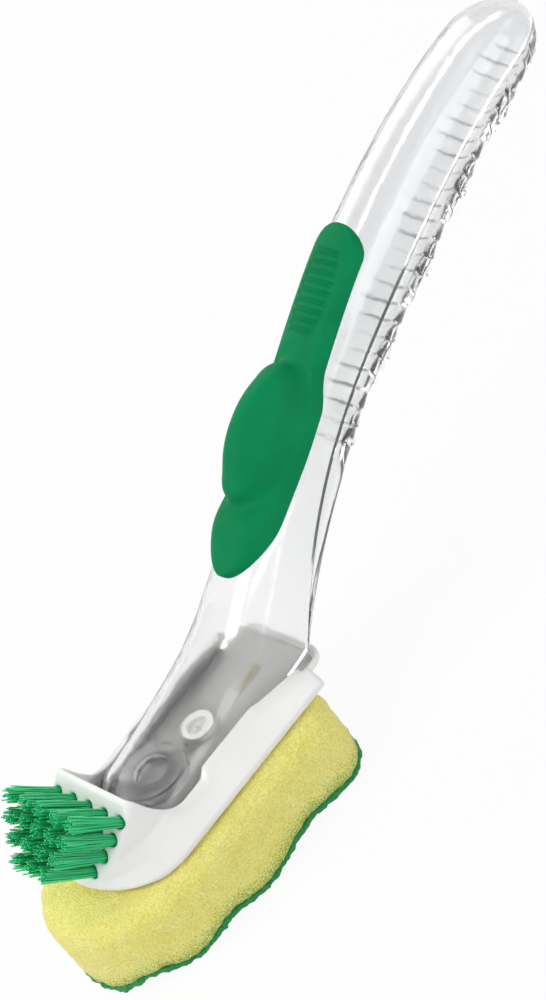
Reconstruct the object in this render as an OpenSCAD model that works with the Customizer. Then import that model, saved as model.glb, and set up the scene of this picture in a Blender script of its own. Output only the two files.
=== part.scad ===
// Soap dispensing dish wand: a clear hollow handle with a squeeze bulb, on a
// slide-off head that carries a brush on its nose and a scrubbing sponge below.
// Origin: centre of the scrubbing face. +X runs from the nose to the handle's
// tip, +Z is up, and Y is the width. All sizes are in millimetres.

/* [Sponge] */
// Length of the sponge, nose to heel
sponge_len = 95; // [88:1:110]
// Width of the sponge
sponge_w = 56.6; // [50:0.2:74]
// Thickness of the sponge with its scouring layer
sponge_t = 25; // [16:1:40]
// Thickness of the scouring layer
scour_t = 2; // [1.5:0.1:4]
// Length of the wave behind the middle of the scrubbing face
wave_len = 38; // [24:0.5:48]
// How many times longer each wave is than the one in front of it
wave_growth = 1.36; // [1.05:0.01:1.4]
// Depth of the waves
wave_depth = 3; // [1.5:0.1:6]
// Depth cut flat on the crests that it stands on
crest_cut = 0.5; // [0.2:0.1:1]
// Length of the sponge's rounded nose
sponge_nose = 46; // [30:1:52]
// Rounding of the sponge's heel corners
heel_round = 12; // [4:1:20]

/* [Head] */
// Distance from the origin to the head's nose
nose_x = 34; // [32:0.5:40]
// Width of the head where it meets the sponge
head_w = 46.8; // [44:0.2:50]
// Width of the head at the rim
rim_w = 33.2; // [32.6:0.2:36]
// Distance from the origin to the end of the head's side walls
wall_end = 49; // [44:0.5:52]
// Thickness of the head's walls
head_wall = 1.6; // [1.2:0.1:2]
// Thickness of the head's floor
floor_t = 3.1; // [2:0.1:4]
// Height of the side walls above the sponge
wall_h = 8.6; // [8:0.1:10]
// Height of the raised bead on the side walls
bead_h = 2.2; // [0.5:0.1:3]
// Height of the collar round the handle's toe, above the sponge
collar_h = 22.2; // [20:0.2:25]
// Length of the finger lip behind the side walls
lip_len = 8; // [6:0.5:14]
// Width of the finger lip
lip_w = 31; // [20:0.5:40]
// Length of a soap slot in the floor
slot_len = 10; // [5:0.5:14]
// Width of a soap slot in the floor
slot_w = 4.2; // [3:0.1:6]
// Running clearance between the head and the handle
slide_gap = 0.3; // [0.2:0.05:0.5]

/* [Brush] */
// Lean of the brush face from the vertical
brush_lean = 50; // [46:0.5:54]
// Distance from the origin to the first row of tufts
brush_x = 17.5; // [16.5:0.1:19]
// Height of the first row of tufts above the sponge
brush_h = 19; // [18:0.1:20]
// Length of the bristles outside the head
bristle_len = 17; // [8:0.5:24]
// Distance across one bristle
bristle_d = 0.44; // [0.3:0.02:0.5]
// Strands in one tuft
strands = 20; // [12:1:28]
// Diameter of a tuft where it leaves its hole
tuft_d = 3.4; // [2.8:0.1:4]
// Distance between rows of tufts, down the brush face
tuft_row = 5.3; // [4.6:0.1:5.6]
// Depth of a tuft hole
tuft_depth = 4; // [3:0.1:4.4]
// How much wider a tuft is at its tips, as a factor
tuft_flare = 1.6; // [1.1:0.1:1.9]

/* [Handle] */
// Distance from the origin to the heel of the handle's foot
heel_x = 53; // [50:0.2:60]
// Distance from the origin to the toe of the handle's foot
toe_x = 12.8; // [10:0.2:12.8]
// Distance from the origin to the handle's tip
tip_x = 222.5; // [205:0.5:260]
// Height of the handle's tip above the sponge
tip_h = 79.6; // [60:0.2:95]
// Slope of the handle where it leaves the head
heel_slope = 32; // [28:0.5:38]
// Slope of the handle at its tip
tip_slope = -2; // [-4:0.5:12]
// How far the lower bend runs
heel_run = 42; // [25:1:50]
// How far the upper bend runs
tip_run = 56.5; // [35:0.5:75]
// Wall thickness of the clear shells
shell_t = 1.8; // [1.4:0.1:2.2]
// Width of the handle at its heel
heel_w = 31; // [30:0.2:31.4]
// Depth of the handle at its heel
heel_d = 23.6; // [22:0.2:27]
// Width of the foot between the head's walls
foot_w = 29.2; // [27:0.1:29.4]
// Height of the foot at its toe
toe_h = 6.4; // [6.2:0.1:8]
// Width of the handle at its neck
neck_w = 22.2; // [22.2:0.2:27]
// Depth of the handle at its neck
neck_d = 24; // [21:0.2:27]
// Distance of the neck from the heel, along the handle
neck_s = 52.5; // [45:0.5:65]
// Width of the handle in the palm
palm_w = 24.8; // [24:0.2:32]
// Depth of the handle in the palm
palm_d = 30.6; // [25:0.2:32]
// Distance of the palm swell from the heel, along the handle
palm_s = 110; // [100:1:135]
// Depth of the handle before its rounded tip
tip_d = 21.4; // [20:0.2:28]
// Length of the rounded tip
tip_round = 18; // [10:0.5:20]

/* [Back ribs] */
// Number of ribs on the back
ribs = 25; // [10:1:27]
// Distance from rib to rib
rib_pitch = 5.1; // [4:0.1:5.4]
// Height of a rib
rib_h = 1.3; // [0.6:0.1:1.8]
// Height of the finger waves that the ribs ride on
finger_h = 2.4; // [0:0.1:3]
// Length of one finger wave
finger_len = 25.5; // [18:0.5:40]

/* [Grip and bulb] */
// Distance of the pad's lower end from the heel, along the handle
pad_s = 13; // [11:0.5:16]
// Length of the soft pad
pad_len = 97; // [96:1:110]
// Width of the pad beside the bulb
pad_w = 20.4; // [19.4:0.2:21]
// Width of the ridged strip
strip_w = 17.8; // [12:0.2:18.4]
// Thickness of the pad
pad_t = 1.8; // [1:0.1:2.2]
// How much thicker the pad's tongue is
tongue_rise = 3.6; // [0:0.1:3.6]
// Number of ridges on the strip
ridges = 9; // [4:1:10]
// Distance from ridge to ridge
ridge_pitch = 2.6; // [1.6:0.1:2.6]
// Height of a ridge
ridge_h = 1.1; // [0.3:0.1:1.2]
// Distance of the bulb's middle from the heel, along the handle
bulb_s = 52; // [50:0.5:55]
// Length of the squeeze bulb
bulb_len = 39; // [28:0.5:42]
// Width of the squeeze bulb
bulb_w = 17; // [14:0.2:17.2]
// Height of the bulb's crown over the pad
bulb_h = 11.8; // [6:0.1:13]
// Wall thickness of the bulb
bulb_t = 1.6; // [1.2:0.1:2.2]
// Clearance round the bulb
bulb_gap = 0.3; // [0.25:0.05:0.5]

/* [Filler and valve] */
// Thickness of the plate that closes the foot
sole_t = 2.2; // [1.8:0.1:3]
// Diameter of the filler bore
fill_d = 14; // [12:0.2:15]
// Distance of the filler from the origin
fill_x = 2.6; // [2:0.1:4]
// Height of the filler's collar above the plate
fill_h = 3.6; // [3.4:0.1:3.8]
// Wall thickness of the filler's collar
fill_wall = 2.6; // [2.2:0.1:2.8]
// Clearance between the cap and its bore
cap_gap = 0.25; // [0.2:0.05:0.4]
// Thickness of the cap's gasket
gasket_t = 1.2; // [0.8:0.1:1.4]
// Distance of the valve from the origin
valve_x = 20.5; // [20:0.1:22]
// Diameter of the valve
valve_d = 9.6; // [7:0.1:10]
// Diameter of the soap outlet
outlet_d = 5; // [3:0.1:6]
// Thickness of the valve's disc
valve_t = 1.1; // [0.8:0.1:1.6]

/* [Hidden] */
TUFTS_IN_ROW = [5, 5, 4, 3];
TUFTS = [for (r = [0:len(TUFTS_IN_ROW) - 1], c = [0:TUFTS_IN_ROW[r] - 1]) [r, c]];
function tuft_name(k) = str("bristle_tuft_", k < 9 ? "0" : "", k + 1);

// Colours
clear_colour = [0.86, 0.88, 0.9, 0.45];
pad_green = [0.02, 0.5, 0.29];
bristle_green = [0.07, 0.62, 0.3];
scour_green = [0.08, 0.45, 0.2];
foam_yellow = [0.95, 0.88, 0.42];
head_white = [0.95, 0.95, 0.94];
steel_grey = [0.7, 0.7, 0.72];

// Sides of a smooth circle, and a length past every edge of the wand
smooth = 48;
big = 400;

// Levels of the head and the foot
floor_top = sponge_t + floor_t;
sole_z = floor_top + slide_gap;
seat_z = sole_z + sole_t;

// Small helpers
function mix(a, b, t) = a + (b - a) * t;
function clamp01(t) = min(1, max(0, t));
function ease(t) = (1 - cos(180 * clamp01(t))) / 2;
function cubic(p, t) =
    pow(1 - t, 3) * p[0] + 3 * pow(1 - t, 2) * t * p[1]
    + 3 * (1 - t) * t * t * p[2] + pow(t, 3) * p[3];
function cubic_slope(p, t) =
    pow(1 - t, 2) * (p[1] - p[0]) + 2 * (1 - t) * t * (p[2] - p[1]) + t * t * (p[3] - p[2]);
function dir(angle) = [cos(angle), sin(angle)];
function flat(lists) = [for (l = lists) for (e = l) e];
function signed_pow(v, e) = sign(v) * pow(abs(v), e);

// Faces of closed meshes, each clockwise from outside
function quad(a, b, c, d) = [[a, b, c], [a, c, d]];
function flipped(faces) = [for (f = faces) [f[2], f[1], f[0]]];
function grid_faces(start, rows, m) =
    [for (j = [0:rows - 2], i = [0:m - 2])
        each quad(start + j * m + i, start + j * m + i + 1,
            start + (j + 1) * m + i + 1, start + (j + 1) * m + i)];
function ring_faces(start, rows, m) =
    [for (j = [0:rows - 2], i = [0:m - 1])
        each quad(start + j * m + i, start + j * m + (i + 1) % m,
            start + (j + 1) * m + (i + 1) % m, start + (j + 1) * m + i)];

// A curved wall between an outer and an inner grid. Each end closes to a pair
// of poles, outer and inner, or without them to a flat edge.
module wall_between(outer, inner, end_poles, start_poles) {
    n = len(outer);
    m = len(outer[0]);
    far = n * m;
    last = (n - 1) * m;
    top = 2 * far;
    low = top + len(end_poles);
    skins = concat(grid_faces(0, n, m), flipped(grid_faces(far, n, m)));
    edges = [for (j = [0:n - 2], r = [j * m]) each concat(
        quad(r, r + m, far + r + m, far + r),
        quad(r + m - 1, far + r + m - 1, far + r + 2 * m - 1, r + 2 * m - 1))];
    end_faces = len(end_poles) == 0
        ? [for (i = [last:last + m - 2]) each quad(i, i + 1, far + i + 1, far + i)]
        : concat(
            [for (i = [last:last + m - 2]) each [[i, i + 1, top], [far + i + 1, far + i, top + 1]]],
            quad(last, top, top + 1, far + last),
            quad(last + m - 1, far + last + m - 1, top + 1, top));
    start_faces = len(start_poles) == 0
        ? [for (i = [0:m - 2]) each quad(i, far + i, far + i + 1, i + 1)]
        : concat(
            [for (i = [0:m - 2]) each [[i + 1, i, low], [far + i, far + i + 1, low + 1]]],
            quad(low, 0, far, low + 1),
            quad(low + 1, far + m - 1, m - 1, low));
    polyhedron(
        points = concat(flat(outer), flat(inner), end_poles, start_poles),
        faces = concat(skins, edges, end_faces, start_faces),
        convexity = 6);
}

// A cup between outer and inner rings, open below and closed by two poles
module cup_between(outer, inner, poles) {
    n = len(outer);
    m = len(outer[0]);
    far = n * m;
    last = (n - 1) * m;
    crown = [for (i = [0:m - 1], a = [last + i], b = [last + (i + 1) % m])
        each [[b, a, 2 * far], [far + a, far + b, 2 * far + 1]]];
    brim = [for (i = [0:m - 1], b = [(i + 1) % m]) each quad(i, b, far + b, far + i)];
    polyhedron(
        points = concat(flat(outer), flat(inner), poles),
        faces = concat(flipped(ring_faces(0, n, m)), ring_faces(far, n, m), crown, brim),
        convexity = 4);
}

// A solid lofted through rings that run anticlockwise seen from above
module loft(rings) {
    n = len(rings);
    m = len(rings[0]);
    polyhedron(
        points = flat(rings),
        faces = concat(flipped(ring_faces(0, n, m)),
            [[for (i = [0:m - 1]) i]],
            [[for (i = [m - 1:-1:0]) (n - 1) * m + i]]),
        convexity = 3);
}

// An outline in the XZ plane, drawn out over the width
module side_prism(width) {
    rotate([90, 0, 0])
        linear_extrude(height = width, center = true)
            children();
}

// Centre line of the handle in the XZ plane, from its heel to its tip. Near the
// heel the seam between the shells runs behind it, down to the sole.
heel_share = 0.86;
seam_lift = 1.1;
seam_run = 90;
seam_gap = 0.15;
heel_up = [-sin(heel_slope), cos(heel_slope)];
heel_seam = [heel_x, seat_z + seam_lift];
heel_centre = heel_seam + heel_share * heel_d / 2 * heel_up;
tip_point = [tip_x, sponge_t + tip_h];
line = [heel_centre, heel_centre + heel_run * dir(heel_slope), tip_point - tip_run * dir(tip_slope), tip_point];
line_steps = 80;
line_points = [for (i = [0:line_steps]) cubic(line, i / line_steps)];
line_runs = [for (i = 0, run = 0; i <= line_steps;
    run = run + (i < line_steps ? norm(line_points[i + 1] - line_points[i]) : 0), i = i + 1)
    [run, i / line_steps]];
handle_run = line_runs[line_steps][0];
function t_at(s) = lookup(s, line_runs);
function centre(s) = cubic(line, t_at(s));
function slope(s) = let (d = cubic_slope(line, t_at(s))) atan2(d[1], d[0]);
function up_at(s) = [-sin(slope(s)), cos(slope(s))];
function place(s, y, n) = let (p = centre(s) + n * up_at(s)) [p[0], y, p[1]];

// Half-width and half-depth along the handle, before the tip is rounded
taper_power = 1.7;
function swell(s, heel, neck, palm, tip) = s < neck_s
    ? mix(neck, heel, pow(1 - s / neck_s, taper_power))
    : s < palm_s
        ? mix(neck, palm, ease((s - neck_s) / (palm_s - neck_s)))
        : mix(palm, tip, pow((s - palm_s) / (handle_run - palm_s), 2));
function half_w(s) = swell(s, heel_w, neck_w, palm_w, palm_w) / 2;
function half_d(s) = swell(s, heel_d, neck_d, palm_d, tip_d) / 2;
function tip_u(s) = clamp01((s - handle_run + tip_round) / tip_round);
function tip_k(s) = sqrt(1 - pow(tip_u(s), 2));
function seam_share(s) = heel_share * pow(clamp01(1 - s / seam_run), 2);

// Shape exponents of the sections: squarer low down, rounder in the grip
round_p = 2.3;
foot_p = 2.8;
heel_p = 3.2;
function front_p(s) = mix(foot_p, round_p, clamp01(s / seam_run));
function back_p(s) = mix(heel_p, round_p, clamp01(s / seam_run));

// Half a section of the handle. Its side runs from -1 over 0 to 1, and t is
// the depth of the surface below the outer skin.
function front_point(s, side, t) =
    let (k = tip_k(s), a = half_w(s) - t, c = half_d(s), q = seam_share(s), e = 2 / front_p(s))
    place(s - t * tip_u(s), k * a * signed_pow(sin(90 * side), e),
        k * (((1 + q) * c - t) * pow(cos(90 * side), e) - q * c));
function back_point(s, side, t, bump = 0) =
    let (k = tip_k(s), a = half_w(s) - t, c = half_d(s), q = seam_share(s), e = 2 / back_p(s))
    let (depth = (1 - q) * c - t - rib_room * rib_zone(s) + bump)
    place(s - t * tip_u(s), k * a * signed_pow(sin(90 * side), e),
        -k * (depth * pow(cos(90 * side), e) + q * c) - seam_gap);

// The foot: its sections stand on the sole and lean back towards the heel
foot_round = 9;
foot_len = heel_x + toe_x;
crown_lean = 25;
crown_run = 13;
toe_run = 18;
toe_lean = 6;
crown_end = heel_centre + heel_d / 2 * heel_up;
toe_top = [-toe_x, seat_z + toe_h];
crown_line = [crown_end, crown_end - crown_run * dir(crown_lean), toe_top + toe_run * dir(toe_lean), toe_top];
lift_run = 0.12;
width_run = 0.3;
function toe_k(w) = let (d = (1 - w) * foot_len) d < foot_round ? sqrt(1 - pow(1 - d / foot_round, 2)) : 1;
function foot_point(w, side, t) =
    let (base = [mix(heel_x, t - toe_x, w), seat_z + seam_lift * clamp01(1 - w / lift_run)])
    let (full = cubic(crown_line, w) - base, lean = full / norm(full), e = 2 / foot_p)
    let (a = mix(heel_w, foot_w, ease(w / width_run)) / 2 - t)
    let (p = base + toe_k(w) * (norm(full) - t) * pow(cos(90 * side), e) * lean)
    [p[0], toe_k(w) * a * signed_pow(sin(90 * side), e), p[1]];

// Stations along the shells and steps round them
front_steps = 12;
back_steps = 8;
function sides(steps) = [for (i = [0:steps]) 2 * i / steps - 1];
toe_turns = [25, 45, 65, 90];
foot_rows = 7;
tube_rows = 22;
tip_turns = [15, 30, 45, 60, 75];
toe_ws = [for (a = toe_turns) 1 - foot_round * (1 - cos(a)) / foot_len];
foot_ws = concat(toe_ws, [for (i = [1:foot_rows]) toe_ws[len(toe_ws) - 1] * (1 - i / (foot_rows + 1))]);
tube_ss = concat(
    [for (i = [0:tube_rows]) i / tube_rows * (handle_run - tip_round)],
    [for (a = tip_turns) handle_run - tip_round * (1 - sin(a))]);

// Ribs: each steps up sharply at its foot end and then falls slowly
rib_end = handle_run - tip_round / 4;
rib_start = rib_end - ribs * rib_pitch;
rib_room = rib_h + finger_h / 2;
rib_fade = 10;
rib_profile = [[0, 0.05], [0.18, 1], [0.62, 0.48]];
plain_rows = 9;
back_tip_turns = [64, 78];
function rib_zone(s) = ease((s - rib_start + rib_fade) / rib_fade);
function finger(s) = finger_h * (0.5 + 0.5 * cos(360 * (rib_end - s) / finger_len));
function rib_weight(side) = pow(cos(90 * side), 0.6);
function back_bump(row, side) = rib_weight(side) * (rib_h * row[1] + finger(row[0]) * rib_zone(row[0]));
back_rows = concat(
    [for (i = [0:plain_rows - 1]) [i / plain_rows * rib_start, 0]],
    [for (i = [0:ribs - 1], p = rib_profile) [rib_start + (i + p[0]) * rib_pitch, p[1]]],
    [for (a = back_tip_turns) [handle_run - tip_round * (1 - sin(a)), 0]]);

// The window that the bulb works through follows the bulb's own outline
bulb_p = 2.3;
bulb_steps = 32;
bulb_centre = centre(bulb_s);
function bulb_ring(grow) = [for (i = [0:bulb_steps - 1], a = [360 * i / bulb_steps])
    [(bulb_len / 2 + grow) * signed_pow(cos(a), 2 / bulb_p), (bulb_w / 2 + grow) * signed_pow(sin(a), 2 / bulb_p)]];
module at_bulb() {
    translate([bulb_centre[0], 0, bulb_centre[1]])
        rotate([0, -slope(bulb_s), 0])
            children();
}
module bulb_window() {
    at_bulb()
        linear_extrude(height = heel_d)
            polygon(bulb_ring(bulb_gap));
}

module front_shell() {
    color(clear_colour)
        difference() {
            wall_between(
                concat(
                    [for (w = foot_ws) [for (d = sides(front_steps)) foot_point(w, d, 0)]],
                    [for (s = tube_ss) [for (d = sides(front_steps)) front_point(s, d, 0)]]),
                concat(
                    [for (w = foot_ws) [for (d = sides(front_steps)) foot_point(w, d, shell_t)]],
                    [for (s = tube_ss) [for (d = sides(front_steps)) front_point(s, d, shell_t)]]),
                [place(handle_run, 0, 0), place(handle_run - shell_t, 0, 0)],
                [[-toe_x, 0, seat_z], [shell_t - toe_x, 0, seat_z]]);
            bulb_window();
        }
}

module back_shell() {
    color(clear_colour)
        wall_between(
            [for (r = back_rows) [for (d = sides(back_steps)) back_point(r[0], -d, 0, back_bump(r, d))]],
            [for (r = back_rows) [for (d = sides(back_steps)) back_point(r[0], -d, shell_t)]],
            [place(handle_run, 0, -seam_gap), place(handle_run - shell_t, 0, -seam_gap)],
            []);
}

// The soft pad: a rounded tongue, a saddle round the bulb and a ridged strip
pad_lift = 0.25;
pad_edge_in = 0.6;
pad_end = pad_s + pad_len;
tongue_len = 18.4;
rise_s = 12.8;
rise_reach = 9;
strip_s = bulb_s + bulb_len / 2 + 2;
strip_blend = 12;
strip_round = 7;
tongue_rows = 6;
saddle_rows = 9;
ridge_start = pad_end - strip_round - 0.1 - ridges * ridge_pitch;
pad_columns = [-1, -0.82, -0.62, -0.32, 0, 0.32, 0.62, 0.82, 1];
ridge_reach = 0.63;
ridge_profile = [[0, 0], [0.25, 1], [0.6, 1]];
pad_end_turns = [0, 30, 50, 68, 82];
function pad_half(s) = s < pad_s + tongue_len
    ? pad_w / 2 * sqrt(1 - pow(1 - (s - pad_s) / tongue_len, 2))
    : mix(pad_w, strip_w, ease((s - strip_s + strip_blend) / strip_blend)) / 2
        * sqrt(1 - pow(clamp01(1 - (pad_end - s) / strip_round), 2));
// Height of the pad's outer face; its tongue is thicker along the middle
function pad_h(s, column) =
    pad_t + tongue_rise * exp(-pow((s - pad_s - rise_s) / rise_reach, 2)) * (1 - pow(min(1, abs(column)), 3));
function pad_point(s, column, half, t) =
    let (share = column * half / (half_w(s) + t))
    front_point(s, asin(signed_pow(share, front_p(s) / 2)) / 90, -t);
pad_rows = concat(
    [for (i = [1:tongue_rows]) [pad_s + tongue_len * (1 - cos(90 * i / tongue_rows)), 0]],
    [for (i = [1:saddle_rows]) [mix(pad_s + tongue_len, ridge_start, i / (saddle_rows + 1)), 0]],
    [for (i = [0:ridges - 1], p = ridge_profile) [ridge_start + (i + p[0]) * ridge_pitch, p[1]]],
    [[ridge_start + ridges * ridge_pitch, 0]],
    [for (a = pad_end_turns) [pad_end - strip_round * (1 - sin(a)), 0]]);
module grip_pad() {
    color(pad_green)
        difference() {
            wall_between(
                [for (r = pad_rows) [for (c = pad_columns)
                    pad_point(r[0], c, pad_half(r[0]) - pad_edge_in,
                        pad_lift + pad_h(r[0], c) + (abs(c) < ridge_reach ? ridge_h * r[1] : 0))]],
                [for (r = pad_rows) [for (c = pad_columns) pad_point(r[0], c, pad_half(r[0]), pad_lift)]],
                [], []);
            bulb_window();
        }
}

// The bulb's dome rises out of the pad, and its skirt passes down the window
skirt_n = neck_d / 2 - shell_t - 5;
dome_levels = [1, 0.95, 0.86, 0.72, 0.52, 0.28];
dome_power = 0.7;
function pad_top(u, y) =
    let (s = bulb_s + u, h = pad_lift + pad_h(s, y / pad_half(s)), a = half_w(s) + h)
    let (c = (1 + seam_share(s)) * half_d(s) + h, p = front_p(s))
    let (n = c * pow(1 - pow(abs(y) / a, p), 1 / p) - seam_share(s) * half_d(s))
    (centre(s) + n * up_at(s) - bulb_centre) * up_at(bulb_s);
function dome_n(u, y, r) = pad_top(u, y) + bulb_h * pow(1 - r * r, dome_power);
function dome_rings(grow, drop) = concat(
    [[for (p = bulb_ring(grow)) [p[0], p[1], skirt_n]]],
    [for (r = dome_levels) [for (p = r * bulb_ring(grow)) [p[0], p[1], dome_n(p[0], p[1], r) - drop]]]);
module pump_bulb() {
    color(pad_green)
        at_bulb()
            cup_between(dome_rings(0, 0), dome_rings(-bulb_t, bulb_t),
                [[0, 0, dome_n(0, 0, 0)], [0, 0, dome_n(0, 0, 0) - bulb_t]]);
}

// The sole plate closes the foot and runs as a flange under the head's rails
rail_half = heel_w / 2 + slide_gap + 0.1;
flange_out = 2.1;
flange_half = rail_half + flange_out;
flange_back = 10;
flange_end = heel_x - flange_back;
toe_corner = 9;
toe_margin = 0.5;
module sole_outline(grow, end) {
    front = -toe_x - toe_margin - grow;
    r = toe_corner + grow;
    inner = flange_half + grow - r;
    for (y = [-inner, inner])
        translate([front + r, y])
            circle(r = r, $fn = smooth);
    translate([front, -inner])
        square([end - front, 2 * inner]);
    translate([front + r, -flange_half - grow])
        square([end - front - r, 2 * (flange_half + grow)]);
}

// Filler: the cap's plug turns in a collar, and its two lugs run in a groove
fit_gap = 0.1;
ledge_t = 1;
ledge_in = 2;
lug_out = 1;
lug_t = 1.2;
lug_w = 4;
lug_z = sole_z + 1.5;
groove_out = lug_out + cap_gap;
ledge_z = seat_z + fill_h - ledge_t;
plug_top = ledge_z - gasket_t - fit_gap;
coin_slot = [1.8, 9, 1.4];
// Valve: a slit disc lies in a cup and is held down by a ring
cup_wall = 1.6;
cup_floor = 1;
ring_t = 1.4;
cup_h = cup_floor + valve_t + ring_t;
slit_w = 0.3;
module sole_plate() {
    color(clear_colour)
        difference() {
            union() {
                translate([0, 0, sole_z])
                    linear_extrude(height = sole_t)
                        union() {
                            sole_outline(0, flange_end);
                            translate([0, -heel_w / 2])
                                square([heel_x - slide_gap, heel_w]);
                        }
                translate([fill_x, 0, sole_z])
                    cylinder(d = fill_d + 2 * fill_wall, h = sole_t + fill_h, $fn = smooth);
                translate([valve_x, 0, sole_z])
                    cylinder(d = valve_d + 2 * cup_wall, h = cup_h, $fn = smooth);
            }
            translate([fill_x, 0, sole_z - 1])
                cylinder(d = fill_d, h = ledge_z - sole_z + 1, $fn = smooth);
            translate([fill_x, 0, sole_z])
                cylinder(d = fill_d - 2 * ledge_in, h = sole_t + fill_h + 1, $fn = smooth);
            translate([fill_x, 0, lug_z - cap_gap])
                cylinder(r = fill_d / 2 + groove_out, h = lug_t + 2 * cap_gap, $fn = smooth);
            translate([fill_x - lug_w / 2 - cap_gap, -fill_d / 2 - groove_out, sole_z - 1])
                cube([lug_w + 2 * cap_gap, fill_d + 2 * groove_out, lug_z - sole_z + 1]);
            translate([valve_x, 0, sole_z - 1])
                cylinder(d = outlet_d, h = cup_h, $fn = smooth);
            translate([valve_x, 0, sole_z + cup_floor])
                cylinder(d = valve_d + 2 * fit_gap, h = cup_h, $fn = smooth);
        }
}

module fill_cap() {
    color(clear_colour)
        difference() {
            union() {
                translate([fill_x, 0, sole_z])
                    cylinder(d = fill_d - 2 * cap_gap, h = plug_top - sole_z, $fn = smooth);
                translate([fill_x, 0, lug_z])
                    intersection() {
                        cylinder(r = fill_d / 2 + lug_out, h = lug_t, $fn = smooth);
                        translate([-fill_d, -lug_w / 2, 0])
                            cube([2 * fill_d, lug_w, lug_t]);
                    }
            }
            translate([fill_x - coin_slot[0] / 2, -coin_slot[1] / 2, sole_z - 1])
                cube([coin_slot[0], coin_slot[1], coin_slot[2] + 1]);
        }
}

module cap_gasket() {
    color(pad_green)
        translate([fill_x, 0, plug_top])
            difference() {
                cylinder(d = fill_d - 2 * cap_gap, h = gasket_t, $fn = smooth);
                translate([0, 0, -1])
                    cylinder(d = fill_d - 2 * ledge_in, h = gasket_t + 2, $fn = smooth);
            }
}

module slit_valve() {
    color(head_white)
        translate([valve_x, 0, sole_z + cup_floor])
            difference() {
                cylinder(d = valve_d, h = valve_t, $fn = smooth);
                for (a = [0, 90])
                    rotate(a)
                        translate([(1 - outlet_d) / 2, -slit_w / 2, -1])
                            cube([outlet_d - 1, slit_w, valve_t + 2]);
            }
}

module valve_ring() {
    color(head_white)
        translate([valve_x, 0, sole_z + cup_floor + valve_t])
            difference() {
                cylinder(d = valve_d, h = ring_t, $fn = smooth);
                translate([0, 0, -1])
                    cylinder(d = outlet_d + 1, h = ring_t + 2, $fn = smooth);
            }
}

// Outside of the head: plan outlines with an elliptic nose, one above another.
// Each level is a height, a half-width and how far its nose lies behind the head's.
nose_len = 24;
nose_steps = 16;
band_h = 2.6;
shoulder_h = 11;
waist_h = 6.5;
waist_back = 1.5;
nose_slope = 0.5;
head_levels = [
    [0, head_w / 2, 0],
    [band_h, head_w / 2 - 0.3, 0],
    [waist_h, mix(head_w, rim_w, (waist_h - band_h) / (shoulder_h - band_h)) / 2, waist_back],
    [shoulder_h, rim_w / 2, waist_back - nose_slope * (shoulder_h - waist_h)],
    [collar_h + 2, rim_w / 2 - 0.5, waist_back - nose_slope * (collar_h + 2 - waist_h)]
];
function head_ring(level) =
    let (w = level[1], mid = nose_len - nose_x + level[2], z = sponge_t + level[0])
    concat([[wall_end, -w, z], [wall_end, w, z]],
        [for (i = [0:nose_steps], a = [90 + 180 * i / nose_steps]) [mid + nose_len * cos(a), w * sin(a), z]]);

// Side view of the head: lifted nose, brush face, collar, low rim and bead
face_dir = [-sin(brush_lean), -cos(brush_lean)];
face_top = [-brush_x, sponge_t + brush_h];
function on_face(q) = face_top + q * face_dir;
lift_x = 20;
lift_slope = 0.25;
face_low = (brush_h - lift_slope * (brush_x - lift_x)) / (cos(brush_lean) + lift_slope * sin(brush_lean));
face_high = (brush_h - collar_h) / cos(brush_lean);
collar_flat = 1.4;
collar_steps = 12;
rim_z = sponge_t + wall_h;
bead_start = 6.4;
bead_end = 30.3;
bead_ramp = 2.3;
heel_rim = 6.1;
collar_back = on_face(face_high) + [collar_flat, 0];
collar_line = [collar_back, collar_back + [3, 0], [-8.5, rim_z], [0, rim_z]];
head_side = concat(
    [[wall_end + 1, sponge_t - 1], [-lift_x, sponge_t - 1], [-lift_x, sponge_t]],
    [on_face(face_low), on_face(face_high)],
    [for (i = [0:collar_steps]) cubic(collar_line, i / collar_steps)],
    [[bead_start, rim_z], [bead_start + bead_ramp, rim_z + bead_h], [bead_end, rim_z + bead_h]],
    [[bead_end + bead_ramp, rim_z + bead_h - 1], [wall_end + 1, sponge_t + heel_rim]]);

// Inside of the head: a channel for the sole plate below, and room for the foot
upper_half = rim_w / 2 - head_wall;
front_wall = collar_back[0] + 0.5;
front_wall_h = 15;
rail_t = 2.5;
rail_slant = 2.6;
room_corner = 6;
rail_top = seat_z + slide_gap + rail_t;
module head_room() {
    front = -toe_x - toe_margin;
    difference() {
        intersection() {
            translate([0, 0, seat_z])
                linear_extrude(height = big)
                    union() {
                        for (y = [room_corner - rail_half, rail_half - room_corner])
                            translate([front + room_corner, y])
                                circle(r = room_corner, $fn = smooth);
                        translate([front + room_corner, -rail_half])
                            square([big, 2 * rail_half]);
                        translate([front, room_corner - rail_half])
                            square([big, 2 * (rail_half - room_corner)]);
                    }
            rotate([90, 0, 90])
                linear_extrude(height = big, center = true)
                    polygon([
                        [-rail_half, sole_z], [rail_half, sole_z], [rail_half, rail_top],
                        [upper_half, rail_top + rail_slant], [upper_half, big],
                        [-upper_half, big], [-upper_half, rail_top + rail_slant], [-rail_half, rail_top]
                    ]);
        }
        side_prism(big)
            polygon([
                [-big, toe_top[1] + slide_gap], [front, toe_top[1] + slide_gap],
                [front_wall, sponge_t + front_wall_h], [front_wall, big], [-big, big]
            ]);
    }
}

// Tufts of the brush
tuft_sides = 12;
hole_gap = 0.15;
brush_margin = 3.3;
root_t = 1.8;
staple_h = 0.8;
staple_t = 0.4;
function row_q(r) = r * tuft_row;
function row_half(r) = let (q = row_q(r)) rim_w / 2 - brush_margin - q / 5 - q * q / 60;
function tuft_y(tuft) = row_half(tuft[0]) * (2 * tuft[1] / (TUFTS_IN_ROW[tuft[0]] - 1) - 1);
module at_tuft(tuft) {
    p = on_face(row_q(tuft[0]));
    translate([p[0], tuft_y(tuft), p[1]])
        rotate([0, brush_lean - 90, 0])
            children();
}

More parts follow.
